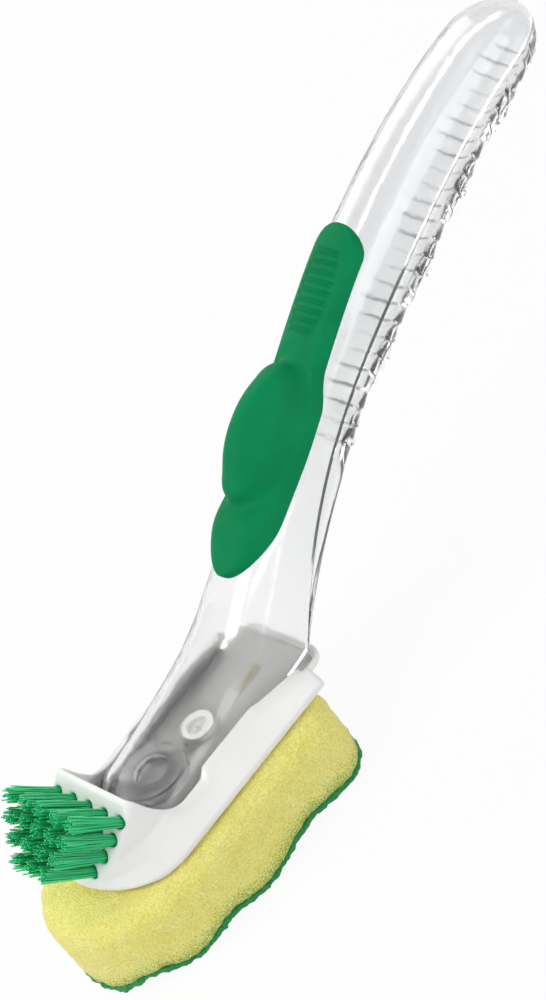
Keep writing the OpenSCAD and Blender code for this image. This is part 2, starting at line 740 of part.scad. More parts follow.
slots_x = [12, 35];
module finger_lip() {
    r = 5;
    end = wall_end + lip_len;
    for (y = [r - lip_w / 2, lip_w / 2 - r])
        translate([end - r, y])
            circle(r = r, $fn = smooth);
    translate([wall_end - r, -lip_w / 2])
        square([lip_len, lip_w]);
    translate([wall_end - r, r - lip_w / 2])
        square([lip_len + r, lip_w - 2 * r]);
}
module head_tray() {
    color(head_white)
        difference() {
            union() {
                intersection() {
                    loft([for (l = head_levels) head_ring(l)]);
                    side_prism(head_w + 2)
                        polygon(head_side);
                }
                translate([0, 0, sponge_t])
                    linear_extrude(height = floor_t - 0.2)
                        finger_lip();
            }
            translate([0, 0, floor_top])
                linear_extrude(height = seat_z + slide_gap - floor_top)
                    sole_outline(slide_gap, big);
            head_room();
            for (x = slots_x)
                translate([x, -slot_w / 2, sponge_t - 1])
                    cube([slot_len, slot_w, floor_t + 2]);
            for (tuft = TUFTS)
                at_tuft(tuft)
                    translate([0, 0, -tuft_depth])
                        cylinder(d = tuft_d + 2 * hole_gap, h = tuft_depth + 1, $fn = tuft_sides);
        }
}

// Bristles spread from the root like seeds on a sunflower, so none crosses
golden = 137.508;
module bristle_tuft(k) {
    root_r = tuft_d / 2;
    root_z = staple_h - tuft_depth;
    start_z = root_z + root_t / 2;
    spread = (tuft_flare - 1) / (bristle_len - start_z);
    color(bristle_green)
        at_tuft(TUFTS[k]) {
            translate([0, 0, root_z])
                cylinder(r = root_r, h = root_t, $fn = tuft_sides);
            for (i = [0:strands - 1])
                let (r = (root_r - bristle_d / 2 - 0.05) * sqrt((i + 0.5) / strands),
                    long = bristle_len * (1 + 0.05 * sin(97 * i + 60 * k)) - start_z)
                    rotate(golden * i + 40 * k)
                        translate([r, 0, start_z])
                            rotate([0, atan(r * spread), 0])
                                cylinder(d = bristle_d, h = long, $fn = 3);
        }
}

module tuft_anchors() {
    color(steel_grey)
        for (tuft = TUFTS)
            at_tuft(tuft)
                translate([-staple_t / 2, -tuft_d / 2, -tuft_depth])
                    cube([staple_t, tuft_d, staple_h - 0.02]);
}

// Sponge and scouring layer share the wavy surface between them
wave_peak = 1;
wave_steps = 48;
nose_arc = 24;
nose_p = 2.2;
heel_arc = 6;
function wave_turn(x) = ln(1 + (x - wave_peak) * (wave_growth - 1) / wave_len) / ln(wave_growth);
function wave_z(x) = wave_depth * (1 - cos(360 * wave_turn(x))) / 2 - crest_cut;
wave_xs = [for (i = [0:wave_steps]) (i / wave_steps - 0.5) * (sponge_len + 2)];
module sponge_outline() {
    heel = sponge_len / 2;
    mid = sponge_nose - heel;
    half = sponge_w / 2;
    polygon(concat(
        [for (i = [0:nose_arc], a = [90 + 180 * i / nose_arc])
            [mid + sponge_nose * signed_pow(cos(a), 2 / nose_p), half * signed_pow(sin(a), 2 / nose_p)]],
        [for (i = [0:heel_arc], a = [90 * i / heel_arc - 90])
            [heel - heel_round + heel_round * cos(a), heel_round - half + heel_round * sin(a)]],
        [for (i = [0:heel_arc], a = [90 * i / heel_arc])
            [heel - heel_round + heel_round * cos(a), half - heel_round + heel_round * sin(a)]]));
}
module sponge_block() {
    color(foam_yellow)
        intersection() {
            linear_extrude(height = sponge_t)
                sponge_outline();
            side_prism(sponge_w + 2)
                polygon(concat([for (x = wave_xs) [x, wave_z(x) + scour_t]],
                    [[sponge_len, sponge_t + 1], [-sponge_len, sponge_t + 1]]));
        }
}
module scour_pad() {
    color(scour_green)
        intersection() {
            linear_extrude(height = sponge_t)
                sponge_outline();
            side_prism(sponge_w + 2)
                polygon(concat([for (x = wave_xs) [x, wave_z(x)]],
                    [for (i = [wave_steps:-1:0]) [wave_xs[i], wave_z(wave_xs[i]) + scour_t]]));
        }
}

front_shell();
back_shell();
sole_plate();
grip_pad();
pump_bulb();
slit_valve();
valve_ring();
fill_cap();
cap_gasket();
head_tray();
sponge_block();
scour_pad();
tuft_anchors();
for (k = [0:len(TUFTS) - 1])
    bristle_tuft(k);
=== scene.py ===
"""Dish wand: clear handle with a squeeze bulb, white head, nose brush and wavy sponge.

Lengths are millimetres in the row frame, as in the CAD source, until mesh_object turns them into metres.
"""
import math

import bpy
import numpy as np
from mathutils import Matrix


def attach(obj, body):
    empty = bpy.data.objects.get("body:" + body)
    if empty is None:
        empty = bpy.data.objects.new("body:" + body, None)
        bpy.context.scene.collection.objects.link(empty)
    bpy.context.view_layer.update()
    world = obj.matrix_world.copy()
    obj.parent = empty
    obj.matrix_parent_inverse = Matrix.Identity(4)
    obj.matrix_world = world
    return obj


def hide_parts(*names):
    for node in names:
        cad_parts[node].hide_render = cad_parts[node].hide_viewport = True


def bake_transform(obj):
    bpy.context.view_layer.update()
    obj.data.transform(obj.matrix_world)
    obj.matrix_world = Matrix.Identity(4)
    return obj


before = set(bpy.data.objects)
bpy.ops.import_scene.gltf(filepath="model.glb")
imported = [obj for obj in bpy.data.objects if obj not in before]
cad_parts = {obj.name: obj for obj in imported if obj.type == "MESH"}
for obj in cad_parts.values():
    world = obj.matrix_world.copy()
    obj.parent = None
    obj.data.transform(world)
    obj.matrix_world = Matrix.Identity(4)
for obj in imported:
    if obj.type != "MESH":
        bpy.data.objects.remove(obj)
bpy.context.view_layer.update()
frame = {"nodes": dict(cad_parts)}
MM = 0.001
PHOTO_W, PHOTO_H = 546, 1000

# ---------------------------------------------------------------- sizes shared with the CAD source
SPONGE_T = 25.0
SOLE_Z = 28.4
SEAT_Z = 30.6
HEEL_X, TOE_X = 53.0, 12.8
HEEL_SLOPE, TIP_SLOPE = 32.0, -2.0
HEEL_RUN, TIP_RUN = 42.0, 56.5
TIP = (222.5, 104.6)
SHELL_T = 1.8
NECK_S, PALM_S = 52.5, 110.0
HEEL_W, NECK_W, PALM_W = 31.0, 22.2, 24.8
HEEL_D, NECK_D, PALM_D, TIP_D = 23.6, 24.0, 30.6, 21.4
TIP_ROUND = 18.0
HEEL_SHARE, SEAM_LIFT, SEAM_RUN, SEAM_GAP = 0.86, 1.1, 90.0, 0.15
# how square a section is: 2 is an ellipse
FOOT_P, HEEL_P, ROUND_P = 2.8, 3.2, 2.3


def mix(a, b, t):
    return a + (b - a) * t


def clamp01(t):
    return np.clip(t, 0.0, 1.0)


def ease(t):
    return (1 - np.cos(np.pi * clamp01(t))) / 2


def signed_pow(v, e):
    return np.sign(v) * np.abs(v) ** e


def bezier(p, t):
    t = np.asarray(t, float)[..., None]
    p = np.asarray(p, float)
    return (1 - t) ** 3 * p[0] + 3 * (1 - t) ** 2 * t * p[1] + 3 * (1 - t) * t * t * p[2] + t ** 3 * p[3]


def bezier_slope(p, t):
    t = np.asarray(t, float)[..., None]
    p = np.asarray(p, float)
    return (1 - t) ** 2 * (p[1] - p[0]) + 2 * (1 - t) * t * (p[2] - p[1]) + t * t * (p[3] - p[2])


def direction(degrees):
    return np.array([math.cos(math.radians(degrees)), math.sin(math.radians(degrees))])


HEEL_UP = np.array([-math.sin(math.radians(HEEL_SLOPE)), math.cos(math.radians(HEEL_SLOPE))])
HEEL_CENTRE = np.array([HEEL_X, SEAT_Z + SEAM_LIFT]) + HEEL_SHARE * HEEL_D / 2 * HEEL_UP
LINE = [
    HEEL_CENTRE, HEEL_CENTRE + HEEL_RUN * direction(HEEL_SLOPE),
    np.array(TIP) - TIP_RUN * direction(TIP_SLOPE), np.array(TIP)]
LINE_T = np.linspace(0, 1, 81)
LINE_STEPS = np.linalg.norm(np.diff(bezier(LINE, LINE_T), axis=0), axis=1)
LINE_S = np.concatenate([[0], np.cumsum(LINE_STEPS)])
RUN = LINE_S[-1]


def centre(s):
    """The handle's centre line, as (x, z), at the length s from the heel."""
    return bezier(LINE, np.interp(s, LINE_S, LINE_T))


def up_at(s):
    """The direction square to the line, towards the pad."""
    d = bezier_slope(LINE, np.interp(s, LINE_S, LINE_T))
    d = d / np.linalg.norm(d, axis=-1, keepdims=True)
    return np.stack([-d[..., 1], d[..., 0]], -1)


def place(s, y, n):
    """The point at length s, y to the side and n above the line."""
    s, y, n = np.broadcast_arrays(np.asarray(s, float), y, n)
    p = centre(s) + n[..., None] * up_at(s)
    return np.stack([p[..., 0], y, p[..., 1]], -1)


def swell(s, heel, neck, palm, tip):
    """A size that passes smoothly from heel to neck, palm and tip."""
    low = mix(neck, heel, clamp01(1 - s / NECK_S) ** 1.7)
    mid = mix(neck, palm, ease((s - NECK_S) / (PALM_S - NECK_S)))
    high = mix(palm, tip, clamp01((s - PALM_S) / (RUN - PALM_S)) ** 2)
    return np.where(s < NECK_S, low, np.where(s < PALM_S, mid, high))


def half_w(s):
    return swell(s, HEEL_W, NECK_W, PALM_W, PALM_W) / 2


def half_d(s):
    return swell(s, HEEL_D, NECK_D, PALM_D, TIP_D) / 2


def tip_u(s):
    return clamp01((s - RUN + TIP_ROUND) / TIP_ROUND)


def tip_k(s):
    return np.sqrt(1 - tip_u(s) ** 2)


def seam_share(s):
    """How far the seam lies below the line, as a share of half the depth."""
    return HEEL_SHARE * clamp01(1 - s / SEAM_RUN) ** 2


def front_p(s):
    return mix(FOOT_P, ROUND_P, clamp01(s / SEAM_RUN))


def back_p(s):
    return mix(HEEL_P, ROUND_P, clamp01(s / SEAM_RUN))


def front_point(s, side, t):
    """The front shell at depth t under its skin, with side from -1 to 1 across."""
    s, side, t = np.broadcast_arrays(np.asarray(s, float), side, t)
    k, a, c, q, e = tip_k(s), half_w(s) - t, half_d(s), seam_share(s), 2 / front_p(s)
    y = k * a * signed_pow(np.sin(np.pi / 2 * side), e)
    n = k * (((1 + q) * c - t) * np.abs(np.cos(np.pi / 2 * side)) ** e - q * c)
    return place(s - t * tip_u(s), y, n)


# ---------------------------------------------------------------- ribs of the back
RIBS, RIB_PITCH, RIB_H = 25, 5.1, 1.3
RIB_RISE, RIB_FOOT, RIB_FADE = 0.24, 0.05, 10.0
FINGER_H, FINGER_LEN = 2.4, 25.5
RIB_END = RUN - TIP_ROUND / 4
RIB_START = RIB_END - RIBS * RIB_PITCH
RIB_ROOM = RIB_H + FINGER_H / 2


def rib_zone(s):
    return ease((s - RIB_START + RIB_FADE) / RIB_FADE)


def rib_shape(s):
    """A rounded step: up sharply at its foot end, then a slow fall to the next one."""
    u = (s - RIB_START) / RIB_PITCH
    f = u - np.floor(u)
    rise = RIB_FOOT + (1 - RIB_FOOT) * ease(f / RIB_RISE)
    fall = 1 - (1 - RIB_FOOT) * clamp01((f - RIB_RISE) / (1 - RIB_RISE)) ** 1.25
    shape = np.where(f < RIB_RISE, rise, fall)
    return np.where((u >= 0) & (u <= RIBS), shape, 0.0)


def back_bump(s, side):
    finger = FINGER_H * (0.5 + 0.5 * np.cos(2 * np.pi * (RIB_END - s) / FINGER_LEN))
    weight = np.abs(np.cos(np.pi / 2 * side)) ** 0.6
    return weight * (RIB_H * rib_shape(s) + finger * rib_zone(s))


def back_point(s, side, t, bump):
    """The back shell at depth t under its skin, raised by bump."""
    s, side, t = np.broadcast_arrays(np.asarray(s, float), side, t)
    k, a, c, q, e = tip_k(s), half_w(s) - t, half_d(s), seam_share(s), 2 / back_p(s)
    depth = (1 - q) * c - t - RIB_ROOM * rib_zone(s) + bump
    y = k * a * signed_pow(np.sin(np.pi / 2 * side), e)
    n = -k * (depth * np.abs(np.cos(np.pi / 2 * side)) ** e + q * c) - SEAM_GAP
    return place(s - t * tip_u(s), y, n)


# ---------------------------------------------------------------- mesh helpers
def mesh_object(name, points, faces, sharp=None):
    mesh = bpy.data.meshes.new(name)
    mesh.from_pydata((np.asarray(points, float) * MM).tolist(), [], [tuple(int(i) for i in f) for f in faces])
    mesh.validate()
    mesh.update()
    mesh.shade_smooth()
    if sharp:
        mesh.set_sharp_from_angle(angle=math.radians(sharp))
    piece = bpy.data.objects.new(name, mesh)
    bpy.context.scene.collection.objects.link(piece)
    return piece


def quads(rows, columns, start=0, closed=False):
    j, i = np.meshgrid(np.arange(rows - 1), np.arange(columns if closed else columns - 1), indexing="ij")
    i2 = (i + 1) % columns
    q = np.stack([j * columns + i, j * columns + i2, (j + 1) * columns + i2, (j + 1) * columns + i], -1)
    return start + q.reshape(-1, 4)


def flip(faces):
    return [tuple(reversed(f)) for f in faces]


def wall_between(name, outer, inner, end_poles=(), start_poles=(), sharp=35):
    """A curved wall between two grids of points. Each end closes to two poles, or to a flat edge."""
    n, m = outer.shape[:2]
    far, last = n * m, (n - 1) * m
    poles = [np.array([p]) for p in (*end_poles, *start_poles)]
    points = np.concatenate([outer.reshape(-1, 3), inner.reshape(-1, 3)] + poles)
    top, low = 2 * far, 2 * far + len(end_poles)
    faces = [tuple(f) for f in quads(n, m)] + flip(quads(n, m, far))
    for j in range(n - 1):
        r = j * m
        faces.append((r, r + m, far + r + m, far + r))
        faces.append((r + m - 1, far + r + m - 1, far + r + 2 * m - 1, r + 2 * m - 1))
    if len(end_poles):
        for i in range(last, last + m - 1):
            faces += [(i, i + 1, top), (far + i + 1, far + i, top + 1)]
        faces += [(last, top, top + 1, far + last), (last + m - 1, far + last + m - 1, top + 1, top)]
    else:
        faces += [(i, i + 1, far + i + 1, far + i) for i in range(last, last + m - 1)]
    if len(start_poles):
        for i in range(m - 1):
            faces += [(i + 1, i, low), (far + i, far + i + 1, low + 1)]
        faces += [(low, 0, far, low + 1), (low + 1, far + m - 1, m - 1, low)]
    else:
        faces += [(i, far + i, far + i + 1, i + 1) for i in range(m - 1)]
    piece = mesh_object(name, points, faces, sharp)
    outward(piece)
    return piece


def outward(piece):
    """Turns every face outward, as the glass needs."""
    import bmesh
    work = bmesh.new()
    work.from_mesh(piece.data)
    bmesh.ops.recalc_face_normals(work, faces=work.faces)
    work.to_mesh(piece.data)
    work.free()
    piece.data.update()


def surface_nets(field, low, step):
    """The zero surface of a sampled field, negative inside, as (points, quads)."""
    inside = field < 0
    nx, ny, nz = field.shape
    shape = (nx - 1, ny - 1, nz - 1)
    total, count = np.zeros(shape + (3,)), np.zeros(shape)
    grid = np.indices(field.shape).astype(float)
    edges = []
    for axis in range(3):
        first = [slice(None)] * 3
        second = [slice(None)] * 3
        first[axis], second[axis] = slice(0, -1), slice(1, None)
        first, second = tuple(first), tuple(second)
        a, b = field[first], field[second]
        cross = inside[first] != inside[second]
        t = np.where(cross, a / np.where(cross, a - b, 1), 0)
        point = [g[first].copy() for g in grid]
        point[axis] = point[axis] + t
        point = np.stack(point, -1)
        others = [k for k in range(3) if k != axis]
        for du in (0, 1):
            for dv in (0, 1):
                part = [slice(None)] * 3
                part[others[0]] = slice(du, field.shape[others[0]] - 1 + du)
                part[others[1]] = slice(dv, field.shape[others[1]] - 1 + dv)
                part = tuple(part)
                total += np.where(cross[part][..., None], point[part], 0)
                count += cross[part]
        edges.append((cross, inside[first]))
    used = count > 0
    index = -np.ones(shape, int)
    index[used] = np.arange(used.sum())
    points = total[used] / count[used][:, None] * step + np.asarray(low, float)
    faces = []
    for axis, (cross, inner) in enumerate(edges):
        u, v = (axis + 1) % 3, (axis + 2) % 3
        at = np.argwhere(cross)
        for k in (u, v):
            at = at[(at[:, k] > 0) & (at[:, k] < field.shape[k] - 1)]
        corner = []
        for du, dv in ((-1, -1), (0, -1), (0, 0), (-1, 0)):
            c = at.copy()
            c[:, u] += du
            c[:, v] += dv
            corner.append(index[c[:, 0], c[:, 1], c[:, 2]])
        q = np.stack(corner, -1)
        turned = inner[at[:, 0], at[:, 1], at[:, 2]]
        faces.append(np.where(turned[:, None], q, q[:, ::-1]))
    return points, np.concatenate(faces)


def blurred(field, sigma):
    """A small Gaussian blur along each axis, which rounds edges as moulding does."""
    reach = max(1, int(math.ceil(2.5 * sigma)))
    k = np.exp(-0.5 * (np.arange(-reach, reach + 1) / sigma) ** 2)
    k /= k.sum()
    for axis in range(3):
        pad = [(0, 0)] * 3
        pad[axis] = (reach, reach)
        wide = np.pad(field, pad, mode="edge")
        out = np.zeros_like(field)
        for i, weight in enumerate(k):
            part = [slice(None)] * 3
            part[axis] = slice(i, i + field.shape[axis])
            out += weight * wide[tuple(part)]
        field = out
    return field


def polygon_distance(u, v, corners):
    """Signed distance to a polygon in the plane, negative inside."""
    best = np.full(u.shape, 1e9)
    inside = np.zeros(u.shape, bool)
    corners = np.asarray(corners, float)
    for a, b in zip(corners, np.roll(corners, -1, axis=0)):
        e = b - a
        wu, wv = u - a[0], v - a[1]
        t = clamp01((wu * e[0] + wv * e[1]) / (e @ e))
        best = np.minimum(best, (wu - t * e[0]) ** 2 + (wv - t * e[1]) ** 2)
        if e[1] != 0:
            crosses = (a[1] <= v) != (b[1] <= v)
            inside ^= crosses & (u < a[0] + (v - a[1]) / e[1] * e[0])
    return np.where(inside, -1, 1) * np.sqrt(best)


def box_distance(x, y, low, high, corner=0.0):
    """Signed distance to a rectangle in the plane with rounded corners."""
    mx, my = (low[0] + high[0]) / 2, (low[1] + high[1]) / 2
    dx = np.abs(x - mx) - (high[0] - low[0]) / 2 + corner
    dy = np.abs(y - my) - (high[1] - low[1]) / 2 + corner
    return np.hypot(np.maximum(dx, 0), np.maximum(dy, 0)) + np.minimum(np.maximum(dx, dy), 0) - corner


def both(a, b, k=0.01):
    """Intersection, with its edge rounded by about k."""
    h = np.maximum(k - np.abs(a - b), 0) / k
    return np.maximum(a, b) + h * h * k / 4


def either(a, b, k=0.01):
    return -both(-a, -b, k)


def noise_field(shape, cell, seed):
    """Smooth seeded noise about -1 to 1 on a grid, with lumps of about cell samples."""
    rng = np.random.default_rng(seed)
    field = blurred(rng.standard_normal(shape), cell)
    return field / np.abs(field).std() / 3


# ---------------------------------------------------------------- material helpers
def new_material(name, **values):
    mat = bpy.data.materials.new(name)
    mat.use_nodes = True
    tree = mat.node_tree
    shader = tree.nodes["Principled BSDF"]
    for key, value in values.items():
        shader.inputs[key.replace("_", " ")].default_value = value
    return mat, tree, shader


def node(tree, kind, links=None, **values):
    """A shader node with its properties set, and its inputs given as values or as sockets."""
    n = tree.nodes.new(kind)
    for key, value in values.items():
        setattr(n, key, value)
    for key, value in (links or {}).items():
        socket = n.inputs[key]
        if isinstance(value, bpy.types.NodeSocket):
            tree.links.new(value, socket)
        else:
            socket.default_value = value
    return n


def place_of(tree, scale=(1, 1, 1)):
    at = node(tree, "ShaderNodeTexCoord")
    return node(tree, "ShaderNodeMapping", {"Vector": at.outputs["Object"], "Scale": scale}).outputs["Vector"]


def noise(tree, where, scale, detail=3.0, rough=0.55):
    links = {"Vector": where, "Scale": scale, "Detail": detail, "Roughness": rough}
    return node(tree, "ShaderNodeTexNoise", links).outputs["Fac"]


def ramp(tree, fac, stops):
    n = node(tree, "ShaderNodeValToRGB", {"Fac": fac})
    r = n.color_ramp
    while len(r.elements) < len(stops):
        r.elements.new(0.5)
    for e, (at, colour) in zip(r.elements, stops):
        e.position = at
        e.color = (*colour, 1)
    return n.outputs["Color"]


def remap(tree, fac, low, high, a=0.0, b=1.0):
    links = {"Value": fac, "From Min": low, "From Max": high, "To Min": a, "To Max": b}
    return node(tree, "ShaderNodeMapRange", links).outputs["Result"]


def math_node(tree, op, a, b=0.0, c=0.0):
    n = tree.nodes.new("ShaderNodeMath")
    n.operation = op
    for i, v in enumerate((a, b, c)):
        if isinstance(v, bpy.types.NodeSocket):
            tree.links.new(v, n.inputs[i])
        else:
            n.inputs[i].default_value = v
    return n.outputs[0]


def mix_colour(tree, fac, a, b):
    n = tree.nodes.new("ShaderNodeMix")
    n.data_type = "RGBA"
    for socket, value in ((n.inputs[0], fac), (n.inputs[6], a), (n.inputs[7], b)):
        if isinstance(value, bpy.types.NodeSocket):
            tree.links.new(value, socket)
        else:
            socket.default_value = value if isinstance(value, float) else (*value, 1)
    return n.outputs[2]


def paint(tree, shader, fac, stops):
    tree.links.new(ramp(tree, fac, stops), shader.inputs["Base Color"])


def gloss(tree, shader, fac, smooth, rough):
    tree.links.new(remap(tree, fac, 0.2, 0.8, smooth, rough), shader.inputs["Roughness"])


def bump(tree, shader, height, distance, strength=1.0):
    n = node(tree, "ShaderNodeBump", {"Height": height, "Distance": distance, "Strength": strength})
    tree.links.new(n.outputs["Normal"], shader.inputs["Normal"])


def clear_plastic(name, foot_tint, grip_tint_painted_shade, haze):
    """Clear plastic, greyer in the grip than in the foot: the grip's grey is partly the plastic's tint and
    partly painted shade.
    """
    mat, tree, shader = new_material(name, Transmission_Weight=1.0, IOR=1.49, Roughness=haze)
    where = place_of(tree)
    along = node(tree, "ShaderNodeSeparateXYZ", {"Vector": where}).outputs["X"]
    # grey tint rising from foot to grip along x: painted shade in the grip
    tint_with_painted_shade = mix_colour(tree, remap(tree, along, 0.05, 0.13), foot_tint, grip_tint_painted_shade)
    tree.links.new(tint_with_painted_shade, shader.inputs["Base Color"])
    soft = noise(tree, where, 130, 2.0)
    fine = noise(tree, where, 900, 2.0)
    height = math_node(tree, "ADD", soft, math_node(tree, "MULTIPLY", fine, 0.08))
    bump(tree, shader, height, 0.0004, 0.5)
    return mat


def soft_green():
    mat, tree, shader = new_material(
        "soft_green", Roughness=0.6, Specular_IOR_Level=0.1, Subsurface_Weight=0.1,
        Subsurface_Radius=(0.001, 0.003, 0.0015), Subsurface_Scale=1.0)
    where = place_of(tree)
    broad = noise(tree, where, 60, 3.0)
    paint(tree, shader, broad, [(0.3, (0.0, 0.195, 0.064)), (0.7, (0.0, 0.235, 0.084))])
    grain = noise(tree, where, 5200, 2.0)
    gloss(tree, shader, noise(tree, where, 300, 2.0), 0.52, 0.66)
    bump(tree, shader, grain, 0.00003, 0.6)
    return mat


def white_plastic():
    mat, tree, shader = new_material(
        "white_plastic", Roughness=0.3, Subsurface_Weight=0.15,
        Subsurface_Radius=(0.002, 0.002, 0.0018), Subsurface_Scale=1.0)
    where = place_of(tree)
    broad = noise(tree, where, 45, 2.0)
    paint(tree, shader, broad, [(0.3, (0.80, 0.80, 0.785)), (0.7, (0.845, 0.845, 0.835))])
    gloss(tree, shader, noise(tree, where, 700, 3.0), 0.26, 0.38)
    bump(tree, shader, noise(tree, where, 2500, 2.0), 0.00002, 0.5)
    return mat


def foam():
    mat, tree, shader = new_material(
        "open_foam", Roughness=0.95, Specular_IOR_Level=0.15, Subsurface_Weight=0.25,
        Subsurface_Radius=(0.003, 0.003, 0.0008), Subsurface_Scale=1.0, Sheen_Weight=0.15)
    where = place_of(tree)
    cells = node(tree, "ShaderNodeTexVoronoi", {"Vector": where, "Scale": 1900.0}, feature="F1")
    pores = node(tree, "ShaderNodeTexVoronoi", {"Vector": where, "Scale": 950.0}, feature="DISTANCE_TO_EDGE")
    broad = noise(tree, where, 160, 4.0)
    base = ramp(tree, broad, [(0.3, (0.87, 0.80, 0.22)), (0.7, (0.92, 0.87, 0.30))])
    # darker in the pores' hollows: painted shade in the pores
    pore_shade = remap(tree, cells.outputs["Distance"], 0.35, 0.75, 0.0, 0.38)
    base = mix_colour(tree, pore_shade, base, (0.58, 0.50, 0.09))
    near = node(tree, "ShaderNodeAttribute", attribute_name="scour_gap").outputs["Fac"]
    speckle = noise(tree, where, 2400, 3.0, 0.7)
    edge = remap(tree, near, 0.0, 8.0, 0.44, 0.70)
    spots = math_node(tree, "GREATER_THAN", speckle, edge)
    base = mix_colour(tree, math_node(tree, "MULTIPLY", spots, 0.75), base, (0.10, 0.36, 0.07))
    tree.links.new(base, shader.inputs["Base Color"])
    rims = remap(tree, pores.outputs["Distance"], 0.0, 0.25, 1.0, 0.0)
    height = math_node(tree, "SUBTRACT", rims, cells.outputs["Distance"])
    bump(tree, shader, height, 0.0003, 0.6)
    return mat


def scour_web():
    mat, tree, shader = new_material("scour_web", Roughness=0.85, Specular_IOR_Level=0.3, Sheen_Weight=0.2)
    where = place_of(tree, (1, 1, 2.5))
    fibres = noise(tree, where, 1400, 5.0, 0.7)
    paint(tree, shader, fibres, [
        (0.30, (0.004, 0.14, 0.036)), (0.5, (0.012, 0.30, 0.07)), (0.72, (0.05, 0.48, 0.14))])
    bump(tree, shader, fibres, 0.0006, 1.0)
    return mat


def bristle_nylon():
    mat, tree, shader = new_material(
        "bristle_nylon", Roughness=0.32, Subsurface_Weight=0.3,
        Subsurface_Radius=(0.001, 0.002, 0.001), Subsurface_Scale=1.0)
    where = place_of(tree)
    # the tone attribute holds each strand's random tone and painted shade that darkens it towards the root
    tone = node(tree, "ShaderNodeAttribute", attribute_name="tone").outputs["Fac"]
    paint(tree, shader, tone, [
        (0.0, (0.002, 0.34, 0.10)), (0.55, (0.012, 0.58, 0.20)), (1.0, (0.06, 0.76, 0.31))])
    bump(tree, shader, noise(tree, where, 3000, 2.0), 0.00003, 0.5)
    return mat


def plain_detail(name, low, high, rough, metallic=0.0, scale=400.0):
    """A small part's material: its colour and gloss drift a little over the surface."""
    mat, tree, shader = new_material(name, Metallic=metallic)
    where = place_of(tree)
    drift = noise(tree, where, scale, 4.0)
    paint(tree, shader, drift, [(0.3, low), (0.7, high)])
    gloss(tree, shader, drift, rough * 0.8, rough * 1.2)
    bump(tree, shader, noise(tree, where, 4000, 2.0), 0.00002, 0.5)
    return mat


def dress(piece, material, body, slot, *nodes):
    piece.data.materials.clear()
    piece.data.materials.append(material)
    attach(piece, body)
    if nodes:
        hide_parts(*nodes)


# the grip tints are greyer than the foot tints: painted shade
CLEAR = clear_plastic("clear_shell", (0.985, 0.985, 0.982), (0.865, 0.87, 0.878), 0.13)
CLEAR_RIBBED = clear_plastic("clear_ribbed", (0.93, 0.932, 0.935), (0.88, 0.885, 0.89), 0.10)
CLEAR_FROSTED = clear_plastic("clear_frosted", (0.985, 0.985, 0.98), (0.985, 0.985, 0.98), 0.36)
GREEN = soft_green()
WHITE = white_plastic()

# ---------------------------------------------------------------- clear front shell
FOOT_ROUND, FOOT_LEN, FOOT_W, TOE_H = 9.0, HEEL_X + TOE_X, 29.2, 6.4
CROWN_END = HEEL_CENTRE + HEEL_D / 2 * HEEL_UP
TOE_TOP = np.array([-TOE_X, SEAT_Z + TOE_H])
CROWN = [CROWN_END, CROWN_END - 13 * direction(25), TOE_TOP + 18 * direction(6), TOE_TOP]


def foot_point(w, side, t):
    """The foot under its skin at depth t, with w from 0 at the heel to 1 at the toe."""
    w, side = np.broadcast_arrays(np.asarray(w, float), side)
    base = np.stack([mix(HEEL_X, t - TOE_X, w), SEAT_Z + SEAM_LIFT * clamp01(1 - w / 0.12)], -1)
    full = bezier(CROWN, w) - base
    size = np.linalg.norm(full, axis=-1)
    lean = full / size[..., None]
    d = (1 - w) * FOOT_LEN
    k = np.where(d < FOOT_ROUND, np.sqrt(1 - clamp01(1 - d / FOOT_ROUND) ** 2), 1.0)
    a = mix(HEEL_W, FOOT_W, ease(w / 0.3)) / 2 - t
    e = 2 / FOOT_P
    p = base + (k * (size - t) * np.abs(np.cos(np.pi / 2 * side)) ** e)[..., None] * lean
    return np.stack([p[..., 0], k * a * signed_pow(np.sin(np.pi / 2 * side), e), p[..., 1]], -1)


def side_steps(count):
    """Steps round half a section, closer at the seam, where a squarish section turns fastest."""
    u = np.linspace(-1, 1, count)
    return np.sign(u) * (1 - (1 - np.abs(u)) ** 1.15)


toe_turns = np.radians([8, 16, 25, 35, 45, 55, 65, 78, 90])
toe_w = 1 - FOOT_ROUND * (1 - np.cos(toe_turns)) / FOOT_LEN
foot_w = np.concatenate([toe_w, np.linspace(toe_w[-1], 0, 34)[1:-1]])
tip_turn = np.radians(np.linspace(6, 84, 14))
tube_s = np.concatenate([np.linspace(0, RUN - TIP_ROUND, 90), RUN - TIP_ROUND * (1 - np.sin(tip_turn))])
across = side_steps(41)[None, :]


def front_skin(t):
    return np.concatenate([foot_point(foot_w[:, None], across, t), front_point(tube_s[:, None], across, t)])


front = wall_between(
    "front_shell_clear", front_skin(0.0), front_skin(SHELL_T),
    [place(RUN, 0, 0), place(RUN - SHELL_T, 0, 0)],
    [np.array([-TOE_X, 0, SEAT_Z]), np.array([SHELL_T - TOE_X, 0, SEAT_Z])])
dress(front, CLEAR, "handle", "clear_plastic", "front_shell")

# ---------------------------------------------------------------- clear back shell with its ribs
plain_s = np.linspace(0, RIB_START, 26)[:-1]
rib_steps = np.array([0, 0.06, 0.12, 0.18, 0.24, 0.36, 0.5, 0.65, 0.8, 0.92])
rib_s = RIB_START + RIB_PITCH * (np.arange(RIBS)[:, None] + rib_steps[None, :]).ravel()
end_s = RUN - TIP_ROUND * (1 - np.sin(np.radians([62, 70, 78, 85])))
back_s = np.concatenate([plain_s, rib_s[rib_s < end_s[0] - 0.2], end_s])
around = -side_steps(37)[None, :]
back = wall_between(
    "back_shell_ribbed",
    back_point(back_s[:, None], around, 0.0, back_bump(back_s[:, None], around)),
    back_point(back_s[:, None], around, SHELL_T, 0.0),
    [place(RUN, 0, -SEAM_GAP), place(RUN - SHELL_T, 0, -SEAM_GAP)], sharp=50)
dress(back, CLEAR_RIBBED, "handle", "clear_plastic", "back_shell")

